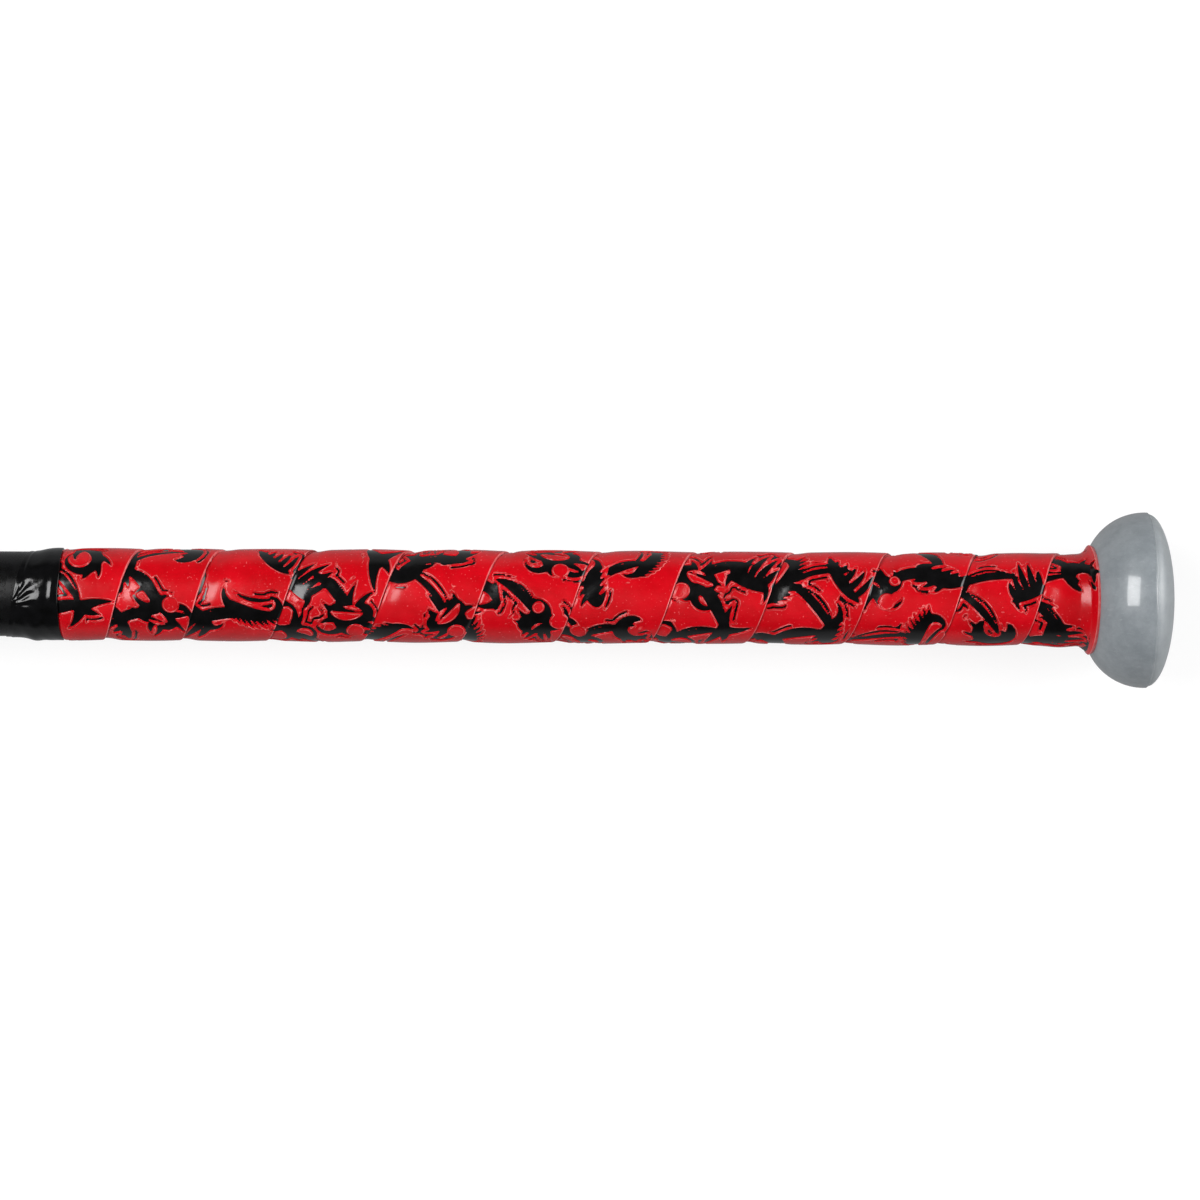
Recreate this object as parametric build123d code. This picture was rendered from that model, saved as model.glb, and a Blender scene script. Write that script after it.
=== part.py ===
from build123d import *
import math
import os

# A devil stick, the centre stick of the set, as an assembly of separate pieces.
# It lies along X with its middle at the origin and +Z up. Lengths are in mm.
# Each end is built at +X and turned half a turn about Z for the other end, which
# keeps the hand of the wrapped grips the same when the stick is turned round.

# Whole stick
stick_length = 650.0
knob_radius = 20.9

# Core tube and the thin sleeve over it
tube_radius = 9.5
tube_wall = 1.0
sleeve_radius = 10.12

# Knob: a round back, a moulding seam, and a shallow dome at the end
dome_height = 6.1
dome_radius = 20.55
back_arc_radius = 14.2
neck_fillet = 0.9
neck_length = 5.0
web_thickness = 3.6
recess_radius = 6.5
recess_edge_radius = 0.7
screw_hole_radius = 2.75

# End plug, glued into the tube with its flange on the tube's end
plug_length = 28.0
flange_thickness = 2.0

# Screw and washer that hold the knob
screw_radius = 2.5
screw_length = 25.0
screw_tip_length = 2.0
head_radius = 4.75
head_height = 3.0
head_side_height = 1.4
drive_length = 5.0
drive_width = 1.2
drive_depth = 1.8
washer_radius = 6.2
washer_thickness = 1.0

# Grip: a strip wrapped from the knob towards the middle, as one sleeve with a
# lip turned up the knob's back
grip_inner_end = 58.0
grip_radius = 10.9
grip_end_radius = 10.55
grip_step_length = 0.6
lip_radius = 12.95
lip_thickness = 0.75
lip_fillet = 1.6

# Finishing tape over the grip's inner end
tape_inner_end = 47.0
tape_outer_end = 61.2
tape_thickness = 0.3
tape_ramp_length = 1.2

# Stations along X that follow from these
tip_x = stick_length / 2
seam_x = tip_x - dome_height
back_centre_x = seam_x - 0.5
back_centre_radius = knob_radius - back_arc_radius
recess_floor_x = seam_x + 0.7
flange_end_x = recess_floor_x - web_thickness
tube_end_x = flange_end_x - flange_thickness
screw_head_x = recess_floor_x + washer_thickness
screw_tip_x = screw_head_x - screw_length
grip_full_x = tape_outer_end + grip_step_length


def back_x(radius):
    """Where the knob's round back has this radius."""
    rise = radius - back_centre_radius
    return back_centre_x - math.sqrt(back_arc_radius**2 - rise**2)


def back_arc(low_radius, high_radius, offset=0.0):
    """The knob's round back between two radii, or a line that stands off it."""
    reach = back_arc_radius + offset
    low_angle = 180 - math.degrees(math.asin((low_radius - back_centre_radius) / reach))
    high_angle = 180 - math.degrees(math.asin((high_radius - back_centre_radius) / reach))
    centre = (back_centre_x, back_centre_radius)
    return CenterArc(centre, reach, low_angle, high_angle - low_angle)


neck_root_x = back_x(sleeve_radius)
neck_end_x = neck_root_x - neck_length


def turned(lines):
    """A solid of revolution about X from a closed outline of lines and arcs."""
    return revolve(make_face(lines), Axis.X)


def turned_polygon(points):
    """A solid of revolution about X from a closed outline of (x, radius) corners."""
    return turned([Polyline(*points, close=True)])


def corner_near(face, x, radius):
    """The outline's corner nearest to a place."""
    place = Vector(x, radius)
    return min(face.vertices(), key=lambda corner: (Vector(corner) - place).length)


def make_core_tube():
    """The aluminium tube that runs from plug flange to plug flange."""
    bore = tube_radius - tube_wall
    return turned_polygon([
        (-tube_end_x, bore),
        (tube_end_x, bore),
        (tube_end_x, tube_radius),
        (-tube_end_x, tube_radius),
    ])


def make_tube_sleeve():
    """The thin skin on the tube from knob neck to knob neck."""
    return turned_polygon([
        (-neck_end_x, tube_radius),
        (neck_end_x, tube_radius),
        (neck_end_x, sleeve_radius),
        (-neck_end_x, sleeve_radius),
    ])


def make_end_plug():
    """A flanged plug, drilled through for the screw."""
    plug_radius = tube_radius - tube_wall
    plug_start_x = tube_end_x - plug_length
    chamfer_size = 1.0
    return turned_polygon([
        (plug_start_x, screw_radius),
        (flange_end_x, screw_radius),
        (flange_end_x, tube_radius),
        (tube_end_x, tube_radius),
        (tube_end_x, plug_radius),
        (plug_start_x + chamfer_size, plug_radius),
        (plug_start_x, plug_radius - chamfer_size),
    ])


def make_knob():
    """A soft moulded knob: socket, web with a screw hole, and an end recess."""
    dome_angle = math.degrees(math.asin(recess_radius / dome_radius))
    recess_mouth_x = seam_x + dome_height * math.cos(math.radians(dome_angle))
    outline = [
        Line((neck_end_x, tube_radius), (neck_end_x, sleeve_radius)),
        Line((neck_end_x, sleeve_radius), (neck_root_x, sleeve_radius)),
        back_arc(sleeve_radius, knob_radius),
        Line((back_centre_x, knob_radius), (seam_x, dome_radius)),
        EllipticalCenterArc(
            (seam_x, 0), dome_height, dome_radius, dome_angle, arc_size=90 - dome_angle
        ),
        Line((recess_mouth_x, recess_radius), (recess_floor_x, recess_radius)),
        Line((recess_floor_x, recess_radius), (recess_floor_x, screw_hole_radius)),
        Line((recess_floor_x, screw_hole_radius), (flange_end_x, screw_hole_radius)),
        Line((flange_end_x, screw_hole_radius), (flange_end_x, tube_radius)),
        Line((flange_end_x, tube_radius), (neck_end_x, tube_radius)),
    ]
    face = make_face(outline)
    face = fillet(corner_near(face, neck_root_x, sleeve_radius), neck_fillet)
    face = fillet(corner_near(face, recess_mouth_x, recess_radius), recess_edge_radius)
    return revolve(face, Axis.X)


def make_knob_washer():
    """The plain washer on the floor of the knob's recess."""
    return turned_polygon([
        (recess_floor_x, screw_hole_radius),
        (screw_head_x, screw_hole_radius),
        (screw_head_x, washer_radius),
        (recess_floor_x, washer_radius),
    ])


def make_knob_screw():
    """A domed-head screw with a cross drive, its shank at the thread's full size."""
    head_top_x = screw_head_x + head_height
    head_side_x = screw_head_x + head_side_height
    cap_height = head_height - head_side_height
    cap_radius = (head_radius**2 + cap_height**2) / (2 * cap_height)
    cap_angle = math.degrees(math.asin(head_radius / cap_radius))
    screw = turned([
        Line((screw_tip_x, 0), (screw_tip_x + screw_tip_length, screw_radius)),
        Line((screw_tip_x + screw_tip_length, screw_radius), (screw_head_x, screw_radius)),
        Line((screw_head_x, screw_radius), (screw_head_x, head_radius)),
        Line((screw_head_x, head_radius), (head_side_x, head_radius)),
        CenterArc((head_top_x - cap_radius, 0), cap_radius, 0, cap_angle),
        Line((head_top_x, 0), (screw_tip_x, 0)),
    ])
    slot_size = (2 * drive_depth, drive_length, drive_width)
    for turn in (0, 90):
        screw -= Pos(head_top_x, 0, 0) * Rot(turn, 0, 0) * Box(*slot_size)
    return screw


def make_grip():
    """The wrapped strip as a sleeve, tapered at its inner end, with a lip at the knob."""
    lip_arc = back_arc(grip_radius, lip_radius, lip_thickness)
    lip_root = lip_arc @ 0
    lip_edge = lip_arc @ 1
    outline = [
        Line((grip_inner_end, sleeve_radius), (neck_root_x, sleeve_radius)),
        back_arc(sleeve_radius, lip_radius),
        Line((back_x(lip_radius), lip_radius), lip_edge),
        lip_arc,
        Line(lip_root, (grip_full_x, grip_radius)),
        Line((grip_full_x, grip_radius), (tape_outer_end, grip_end_radius)),
        Line((tape_outer_end, grip_end_radius), (grip_inner_end, grip_end_radius)),
        Line((grip_inner_end, grip_end_radius), (grip_inner_end, sleeve_radius)),
    ]
    face = make_face(outline)
    face = fillet(corner_near(face, neck_root_x, sleeve_radius), neck_fillet)
    face = fillet(corner_near(face, lip_root.X, lip_root.Y), lip_fillet)
    return revolve(face, Axis.X)


def make_finishing_tape():
    """A few turns of thin tape from the sleeve up onto the grip's tapered end."""
    ramp_start_x = grip_inner_end - tape_ramp_length
    return turned_polygon([
        (tape_inner_end, sleeve_radius),
        (grip_inner_end, sleeve_radius),
        (grip_inner_end, grip_end_radius),
        (tape_outer_end, grip_end_radius),
        (tape_outer_end, grip_end_radius + tape_thickness),
        (grip_inner_end, grip_end_radius + tape_thickness),
        (ramp_start_x, sleeve_radius + tape_thickness),
        (tape_inner_end, sleeve_radius + tape_thickness),
    ])


end_pieces = {
    "end_plug": make_end_plug(),
    "knob": make_knob(),
    "knob_washer": make_knob_washer(),
    "knob_screw": make_knob_screw(),
    "grip": make_grip(),
    "finishing_tape": make_finishing_tape(),
}
pieces = {
    "core_tube": make_core_tube(),
    "tube_sleeve": make_tube_sleeve(),
}
for name, piece in end_pieces.items():
    pieces[name + "_right"] = piece
    pieces[name + "_left"] = Rot(0, 0, 180) * piece

os.makedirs("parts", exist_ok=True)
for name, piece in pieces.items():
    export_step(piece, f"parts/{name}.step")
    print(name, round(piece.volume), "mm3")
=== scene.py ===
import math
import random
import bmesh
import bpy
import numpy as np
from mathutils import Matrix, Vector


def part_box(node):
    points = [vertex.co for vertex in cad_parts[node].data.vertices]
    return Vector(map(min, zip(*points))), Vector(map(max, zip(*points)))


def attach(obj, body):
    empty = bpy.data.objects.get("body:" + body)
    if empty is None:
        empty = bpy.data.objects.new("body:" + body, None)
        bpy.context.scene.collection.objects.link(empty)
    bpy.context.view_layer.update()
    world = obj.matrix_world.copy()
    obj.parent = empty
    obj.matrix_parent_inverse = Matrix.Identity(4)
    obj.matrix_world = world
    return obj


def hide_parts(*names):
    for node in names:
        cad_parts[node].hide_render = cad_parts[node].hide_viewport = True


# The looks of a devil stick: a straight sleeved tube with a soft knob on each end and, on
# each half, a strip wound from the knob towards the middle under a band of black tape.
# The stick lies along X. Everything is in metres; MM turns millimetres into metres.

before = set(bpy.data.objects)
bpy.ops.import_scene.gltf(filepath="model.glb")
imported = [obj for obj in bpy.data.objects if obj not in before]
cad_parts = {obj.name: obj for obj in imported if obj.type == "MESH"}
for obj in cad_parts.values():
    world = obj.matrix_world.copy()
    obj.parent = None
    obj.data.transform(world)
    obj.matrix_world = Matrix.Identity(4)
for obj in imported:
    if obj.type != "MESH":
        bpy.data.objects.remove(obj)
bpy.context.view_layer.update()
MM = 0.001


# --- Sizes, from the frame where it holds them ---

KNOB_LOW, KNOB_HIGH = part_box("knob_right")
GRIP_LOW, GRIP_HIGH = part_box("grip_right")
SLEEVE_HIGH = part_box("tube_sleeve")[1]
TAPE_LOW, TAPE_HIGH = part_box("finishing_tape_right")
WASHER_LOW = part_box("knob_washer_right")[0]

SLEEVE_RADIUS = SLEEVE_HIGH[2]
SLEEVE_WALL = 0.62 * MM
KNOB_RADIUS = KNOB_HIGH[2]
LIP_RADIUS = GRIP_HIGH[2]
GRIP_END_X = GRIP_LOW[0]
NECK_END_X = KNOB_LOW[0]
FLOOR_Z = KNOB_LOW[2]

# The knob's outline: a round back, a parting seam and a shallow dome
BACK_ARC_RADIUS = 14.2 * MM
DOME_HEIGHT = 6.1 * MM
DOME_RADIUS = 20.55 * MM
RECESS_RADIUS = 6.5 * MM
RECESS_FLOOR_X = WASHER_LOW[0]
WEB_THICKNESS = 3.6 * MM
SCREW_HOLE_RADIUS = 2.75 * MM
SEAM_X = RECESS_FLOOR_X - 0.7 * MM
BACK_CENTRE_X = SEAM_X - 0.5 * MM
BACK_CENTRE_RADIUS = KNOB_RADIUS - BACK_ARC_RADIUS

FULL_TURN = 2 * math.pi

# The side of the stick that is looked at, as an angle up from -Y
FRONT_ANGLE = math.radians(90)

# How the strip is wound: each turn's advance, its first one's extra, and the overlap
PITCH = 21.43 * MM
FIRST_STEP = 3.0 * MM
OVERLAP = 4.0 * MM
START_ANGLE = FRONT_ANGLE + math.radians(219)
WRAP_RADIUS = 10.8 * MM

# The slow drift of handwork in the turns' places: two waves, each by height and rate per turn
DRIFT_WAVES = ((3.84 * MM, 0.58), (1.23 * MM, 1.14))

# How high its black ground stands: at its knob-side edge, how much more in the middle, at
# its far edge, under the next turn, and how much more where the ring lies double
EDGE_RISE = 0.50 * MM
MIDDLE_RISE = 0.30 * MM
FAR_RISE = 0.40 * MM
HIDDEN_RISE = 0.34 * MM
DOUBLE_RISE = 0.26 * MM

# The raised red: its height, the width of its sloping sides, how deep their feet are in the
# black, its rounded edge, and how far from a rim that edge counts as being
RELIEF_HEIGHT = 0.25 * MM
RELIEF_SLOPE = 0.24 * MM
SLOPE_FOOT_DEPTH = 0.02 * MM
BEVEL_WIDTH = 0.32 * MM
BEVEL_DEPTH = 0.12 * MM
RIM_AT_EDGE = 0.28 * MM

# The bend up the knob's back, the lip there, and the straight flare in front of it
LIP_BEND_RADIUS = 3.6 * MM
LIP_THICKNESS = 0.70 * MM
LIP_TILT = 1.8 * MM
FLARE_RISE = 1.02 * MM
FLARE_SLOPE = math.radians(20)

# How finely the strip is divided: steps in a turn, and columns across it. The ring at the
# knob stops short of a full turn by these angles, in radians.
GROUND_TURN_STEPS = 96
RELIEF_TURN_STEPS = 148
RELIEF_COLUMNS = 46
GROUND_RING_GAP = 0.03
RELIEF_RING_GAP = 0.12
WELD_DISTANCE = 0.06 * MM


# --- Small helpers for node materials ---

class Shader:
    """A node material with one Principled shader, built a node at a time."""

    def __init__(self, name, **constants):
        self.material = bpy.data.materials.new(name)
        self.material.use_nodes = True
        self.tree = self.material.node_tree
        self.principled = self.tree.nodes["Principled BSDF"]
        for socket, value in constants.items():
            self.principled.inputs[socket.replace("_", " ")].default_value = value

    def node(self, kind, inputs=(), **settings):
        """A node of this kind, its inputs linked or set, and its settings made."""
        made = self.tree.nodes.new("ShaderNode" + kind)
        for name, value in settings.items():
            setattr(made, name, value)
        for name, value in dict(inputs).items():
            if isinstance(value, bpy.types.NodeSocket):
                self.tree.links.new(value, made.inputs[name])
            else:
                made.inputs[name].default_value = value
        return made

    def place(self):
        """The surface's own coordinates, in metres."""
        return self.node("TexCoord").outputs["Object"]

    def noise(self, size, detail=3.0, roughness=0.5, stretch=(1, 1, 1)):
        """Soft noise from 0 to 1 whose spots are about this size in metres."""
        mapping = self.node("Mapping", {"Vector": self.place(), "Scale": stretch})
        grain = {"Scale": 1 / size, "Detail": detail, "Roughness": roughness}
        inputs = {"Vector": mapping.outputs["Vector"], **grain}
        return self.node("TexNoise", inputs).outputs["Fac"]

    def measured(self, name):
        """A distance in millimetres that the mesh holds at each point."""
        return self.node("Attribute", attribute_name=name).outputs["Fac"]

    def product(self, first, second):
        """Two factors multiplied."""
        return self.node("Math", {0: first, 1: second}, operation="MULTIPLY").outputs["Value"]

    def ramp(self, source, stops):
        """A colour ramp from a list of (position, colour) stops."""
        made = self.node("ValToRGB", {"Fac": source})
        elements = made.color_ramp.elements
        while len(elements) < len(stops):
            elements.new(0.5)
        for element, (position, colour) in zip(elements, stops):
            element.position = position
            element.color = (*colour, 1)
        return made.outputs["Color"]

    def spread(self, source, low, high, start=0.3, end=0.7):
        """Maps a factor that runs from start to end onto low to high."""
        limits = {"From Min": start, "From Max": end, "To Min": low, "To Max": high}
        return self.node("MapRange", {"Value": source, **limits}).outputs["Result"]

    def mix(self, factor, first, second):
        """A plain second colour over the first by a factor."""
        # The node has an A and a B for each kind of value, so its sockets go by number
        inputs = {0: factor, 6: first, 7: (*second, 1)}
        return self.node("Mix", inputs, data_type="RGBA").outputs[2]

    def bump(self, height, distance, strength=1.0, over=None):
        """A bump of this height in metres, over another bump if one is given."""
        inputs = {"Height": height, "Distance": distance, "Strength": strength}
        if over is not None:
            inputs["Normal"] = over
        return self.node("Bump", inputs).outputs["Normal"]

    def join(self, socket, source):
        """Feeds one of the Principled shader's sockets."""
        self.tree.links.new(source, self.principled.inputs[socket])


# --- Materials ---

def grey(level):
    """A neutral colour."""
    return (level, level, level)


def red_relief():
    """Satin red polymer: fine grain, dust specks, a painted pale highlight along the rims and a
    painted highlight line along the cut edge.
    """
    shader = Shader("grip_red", IOR=1.38)
    broad = shader.noise(9 * MM, 6.0, 0.64)
    colour = shader.ramp(broad, [(0.37, (0.36, 0.0006, 0.0034)), (0.63, (0.45, 0.0012, 0.0060))])
    specks = shader.noise(0.55 * MM, 1.0, 0.4)
    speck_mask = shader.spread(specks, 0.0, 0.5, 0.69, 0.80)
    colour = shader.mix(speck_mask, colour, (0.62, 0.12, 0.13))
    # A painted pale highlight along the red's rims, standing in for the glint that their raised
    # edges catch; the same rim also drives a real bump below
    rim_stops = [(0.22, grey(0)), (0.30, grey(1)), (0.35, grey(1)), (0.46, grey(0))]
    rim = shader.ramp(shader.measured("rim_distance"), rim_stops)
    painted_rim_highlight = shader.spread(shader.noise(2.5 * MM, 3.0), 0.0, 0.62, 0.38, 0.66)
    colour = shader.mix(shader.product(rim, painted_rim_highlight), colour, (0.84, 0.20, 0.19))
    # A painted pale highlight line along the strip's cut edge, standing in for the glint on each
    # seam
    cut_edge = shader.spread(shader.measured("edge_distance"), 1.0, 0.0, 0.16, 0.30)
    painted_edge_highlight = shader.spread(shader.noise(3.5 * MM, 4.0), 0.12, 0.66)
    colour = shader.mix(shader.product(cut_edge, painted_edge_highlight), colour, (0.78, 0.24, 0.24))
    shader.join("Base Color", colour)
    shader.join("Roughness", shader.spread(shader.noise(3 * MM, 4.0, 0.6), 0.18, 0.27))
    grain = shader.bump(shader.noise(0.35 * MM, 3.0, 0.6), 0.020 * MM, 0.8)
    waves = shader.bump(shader.noise(4 * MM, 2.0), 0.14 * MM, 0.6, over=grain)
    shader.join("Normal", shader.bump(rim, 0.12 * MM, over=waves))
    return shader.material


def black_ground():
    """The strip's sunken black, a little glossier than the red."""
    shader = Shader("grip_black", IOR=1.42)
    blacks = [(0.3, grey(0.0010)), (0.7, (0.0030, 0.0028, 0.0031))]
    colour = shader.ramp(shader.noise(4 * MM, 3.0), blacks)
    shader.join("Base Color", colour)
    shader.join("Roughness", shader.spread(shader.noise(2 * MM, 4.0, 0.6), 0.12, 0.22))
    grain = shader.bump(shader.noise(0.4 * MM, 3.0, 0.6), 0.010 * MM, 0.5)
    waves = shader.bump(shader.noise(3.5 * MM, 2.0), 0.14 * MM, 0.6, over=grain)
    shader.join("Normal", waves)
    return shader.material


def knob_plastic():
    """Soft grey moulded plastic: a clear skin over a mottle, scuffed, duller on the dome, and
    painted lighter on the dome for the light that falls there.
    """
    shader = Shader("knob_grey", IOR=1.45, Coat_Weight=0.8, Coat_IOR=1.45)
    # A pale grey for the real scuffs, also used to paint the dome lighter for the light it
    # catches
    scuff_and_dome_light_grey = (0.30, 0.315, 0.32)
    mottle = shader.noise(5 * MM, 7.0, 0.72)
    colour = shader.ramp(mottle, [(0.38, (0.152, 0.170, 0.184)), (0.62, (0.194, 0.214, 0.227))])
    scuffs = shader.noise(1.6 * MM, 6.0, 0.8, stretch=(1, 3, 1))
    colour = shader.mix(shader.spread(scuffs, 0.0, 0.40, 0.57, 0.68), colour, scuff_and_dome_light_grey)
    along = shader.node("SeparateXYZ", {"Vector": shader.place()}).outputs["X"]
    from_middle = shader.node("Math", {0: along}, operation="ABSOLUTE").outputs["Value"]
    on_dome = (SEAM_X - 0.4 * MM, SEAM_X + 0.6 * MM)
    shader.join("Coat Roughness", shader.spread(from_middle, 0.09, 0.50, *on_dome))
    # The dome's colour is painted lighter here, standing in for the brighter light falling on it
    colour = shader.mix(shader.spread(from_middle, 0.0, 0.22, *on_dome), colour, scuff_and_dome_light_grey)
    shader.join("Base Color", colour)
    shader.join("Roughness", shader.spread(shader.noise(1.5 * MM, 4.0, 0.65), 0.36, 0.48))
    grain = shader.bump(shader.noise(0.6 * MM, 4.0, 0.6), 0.008 * MM, 0.8)
    shader.join("Normal", shader.bump(shader.noise(8 * MM, 2.0), 0.06 * MM, 0.5, over=grain))
    return shader.material


def vinyl_tape():
    """Glossy black vinyl."""
    shader = Shader("tape_black", IOR=1.40)
    blacks = [(0.3, grey(0.0010)), (0.7, (0.0030, 0.0030, 0.0034))]
    colour = shader.ramp(shader.noise(3 * MM, 3.0), blacks)
    shader.join("Base Color", colour)
    shader.join("Roughness", shader.spread(shader.noise(1.6 * MM, 4.0, 0.6), 0.10, 0.19))
    grain = shader.bump(shader.noise(0.45 * MM, 3.0, 0.6), 0.010 * MM, 0.8)
    shader.join("Normal", shader.bump(shader.noise(2.2 * MM, 2.0), 0.08 * MM, 0.7, over=grain))
    return shader.material


def sleeve_rubber():
    """Satin black sleeve with fine drawn lines along it and small rub marks."""
    shader = Shader("sleeve_black", IOR=1.37)
    blacks = [(0.3, grey(0.0016)), (0.7, (0.0044, 0.0044, 0.0048))]
    colour = shader.ramp(shader.noise(8 * MM, 4.0, 0.6), blacks)
    rubs = shader.noise(1.2 * MM, 5.0, 0.7, stretch=(0.15, 1, 1))
    colour = shader.mix(shader.spread(rubs, 0.0, 0.4, 0.62, 0.80), colour, (0.014, 0.014, 0.016))
    shader.join("Base Color", colour)
    shader.join("Roughness", shader.spread(shader.noise(2 * MM, 4.0, 0.65), 0.22, 0.34))
    lines = shader.bump(shader.noise(0.5 * MM, 3.0, 0.6, stretch=(0.08, 1, 1)), 0.015 * MM, 0.7)
    shader.join("Normal", shader.bump(shader.noise(6 * MM, 2.0), 0.08 * MM, 0.5, over=lines))
    return shader.material


def plated_steel(name, tint):
    """Zinc-plated steel with turning marks."""
    shader = Shader(name, Metallic=1.0)
    lighter = tuple(min(1, 1.12 * part) for part in tint)
    colour = shader.ramp(shader.noise(1.5 * MM, 4.0), [(0.3, tint), (0.7, lighter)])
    shader.join("Base Color", colour)
    shader.join("Roughness", shader.spread(shader.noise(0.8 * MM, 4.0, 0.6), 0.24, 0.42))
    marks = shader.noise(0.3 * MM, 3.0, 0.6, stretch=(4, 1, 1))
    shader.join("Normal", shader.bump(marks, 0.01 * MM, 0.7))
    return shader.material


def drawn_aluminium():
    """The tube inside, with lines along it."""
    shader = Shader("tube_aluminium", Metallic=1.0)
    lines = shader.noise(0.4 * MM, 4.0, 0.6, stretch=(0.03, 1, 1))
    greys = [(0.3, (0.60, 0.60, 0.62)), (0.7, (0.74, 0.74, 0.76))]
    shader.join("Base Color", shader.ramp(lines, greys))
    shader.join("Roughness", shader.spread(lines, 0.28, 0.45))
    shader.join("Normal", shader.bump(lines, 0.01 * MM, 0.6))
    return shader.material


def plug_nylon():
    """Natural nylon of the end plugs."""
    shader = Shader("plug_nylon", IOR=1.5)
    creams = [(0.3, (0.66, 0.64, 0.58)), (0.7, (0.74, 0.72, 0.66))]
    shader.join("Base Color", shader.ramp(shader.noise(3 * MM), creams))
    shader.join("Roughness", shader.spread(shader.noise(1 * MM), 0.42, 0.55))
    shader.join("Normal", shader.bump(shader.noise(0.5 * MM), 0.02 * MM, 0.6))
    return shader.material


# --- Mesh helpers ---

def add_object(name, data):
    """An object in the scene."""
    made = bpy.data.objects.new(name, data)
    bpy.context.scene.collection.objects.link(made)
    return made


def add_piece(name, points, faces, material, body="root", half_turn=False):
    """A smooth piece that rides on a body. half_turn builds it for the stick's other end."""
    points = np.asarray(points, float)
    if half_turn:
        points = points * (-1, -1, 1)
    mesh = bpy.data.meshes.new(name)
    mesh.from_pydata(points.tolist(), [], faces)
    mesh.shade_smooth()
    mesh.materials.append(material)
    mesh.validate()
    piece = add_object(name, mesh)
    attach(piece, body)
    return piece


def around(x, radius, angle):
    """Points on the stick: angle 0 faces -Y and a quarter turn faces up."""
    return np.stack([x, -radius * np.cos(angle), radius * np.sin(angle)], axis=-1)


def grid_faces(rows, columns, close_rows=False):
    """Quads over a grid of points stored row by row. Each row closes on itself."""
    faces = []
    for i in range(rows if close_rows else rows - 1):
        here, there = i * columns, (i + 1) % rows * columns
        for j in range(columns):
            k = (j + 1) % columns
            faces.append((here + j, here + k, there + k, there + j))
    return faces


# --- The strip's surface ---
# A place on the strip is (turn, across): how far round the stick it has been wound, in
# radians from where it leaves the knob, and how far it is from the strip's knob-side edge.
# Before turn 0 the strip makes one straight ring against the knob. After it, each turn moves
# one pitch towards the middle and lies over the edge of the turn before.

# The line that the strip lies on: along the sleeve, round a bend, and up the knob's back
BEND_ANGLE = math.acos(
    (SLEEVE_RADIUS + LIP_BEND_RADIUS - BACK_CENTRE_RADIUS) / (BACK_ARC_RADIUS + LIP_BEND_RADIUS)
)
BEND_START = BACK_CENTRE_X - (BACK_ARC_RADIUS + LIP_BEND_RADIUS) * math.sin(BEND_ANGLE)
BEND_END = BEND_START + LIP_BEND_RADIUS * BEND_ANGLE
LIP_ANGLE = math.acos((LIP_RADIUS - BACK_CENTRE_RADIUS) / (BACK_ARC_RADIUS + LIP_THICKNESS))
LIP_EDGE = BEND_END + BACK_ARC_RADIUS * (BEND_ANGLE - LIP_ANGLE)


def smooth_step(value):
    """0 below 0, 1 above 1, and a smooth climb between."""
    value = np.clip(value, 0, 1)
    return value * value * (3 - 2 * value)


def ridge(distance, width):
    """1 on a line, falling off smoothly on both sides of it over about this width."""
    return np.exp(-((distance / width) ** 2))


def raised_point(along, rise):
    """x and radius of a point that stands this high over the line that the strip lies on."""
    in_bend = np.clip((along - BEND_START) / LIP_BEND_RADIUS, 0, BEND_ANGLE)
    on_knob = np.maximum(along - BEND_END, 0) / BACK_ARC_RADIUS
    slope = in_bend - on_knob
    x = np.minimum(along, BEND_START) + LIP_BEND_RADIUS * np.sin(in_bend)
    x = x + BACK_ARC_RADIUS * (np.sin(BEND_ANGLE) - np.sin(BEND_ANGLE - on_knob))
    radius = SLEEVE_RADIUS + LIP_BEND_RADIUS * (1 - np.cos(in_bend))
    radius = radius + BACK_ARC_RADIUS * (np.cos(BEND_ANGLE - on_knob) - np.cos(BEND_ANGLE))
    return x - rise * np.sin(slope), radius + rise * np.cos(slope)


def edge_line(turn):
    """Where the strip's knob-side edge is, along the stick, in the uneven turns of handwork."""
    wound = np.maximum(turn, 0) / FULL_TURN
    drift = sum(height * np.sin(rate * wound) for height, rate in DRIFT_WAVES)
    tilt = LIP_TILT * np.cos(START_ANGLE - turn - FRONT_ANGLE)
    tilt = tilt * smooth_step(1 - turn / FULL_TURN * 4)
    return LIP_EDGE - PITCH * wound + drift + tilt - FIRST_STEP * smooth_step(wound / 0.5)


def shown_width(turn):
    """How much of the strip shows before the next turn covers it."""
    return edge_line(turn) - edge_line(turn + FULL_TURN)


def facing_front(turn):
    """How much a place faces the front of the stick: 1 there and 0 from the sides on."""
    return np.maximum(np.cos(START_ANGLE - turn - FRONT_ANGLE), 0) ** 2


def flare_rise(along, rise):
    """The rise at which the red runs up to the knob as a straight flare, not round the bend."""
    gate_lead, gate_length = 1.0 * MM, 2.4 * MM
    bent = np.clip((along - BEND_START) / LIP_BEND_RADIUS, 0, BEND_ANGLE)
    depth = (LIP_BEND_RADIUS - FLARE_RISE) * math.cos(FLARE_SLOPE) / np.cos(bent - FLARE_SLOPE)
    flare = np.maximum(LIP_BEND_RADIUS - depth - RELIEF_HEIGHT, 0.5 * rise)
    return rise + (flare - rise) * smooth_step((along - BEND_START + gate_lead) / gate_length)


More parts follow.
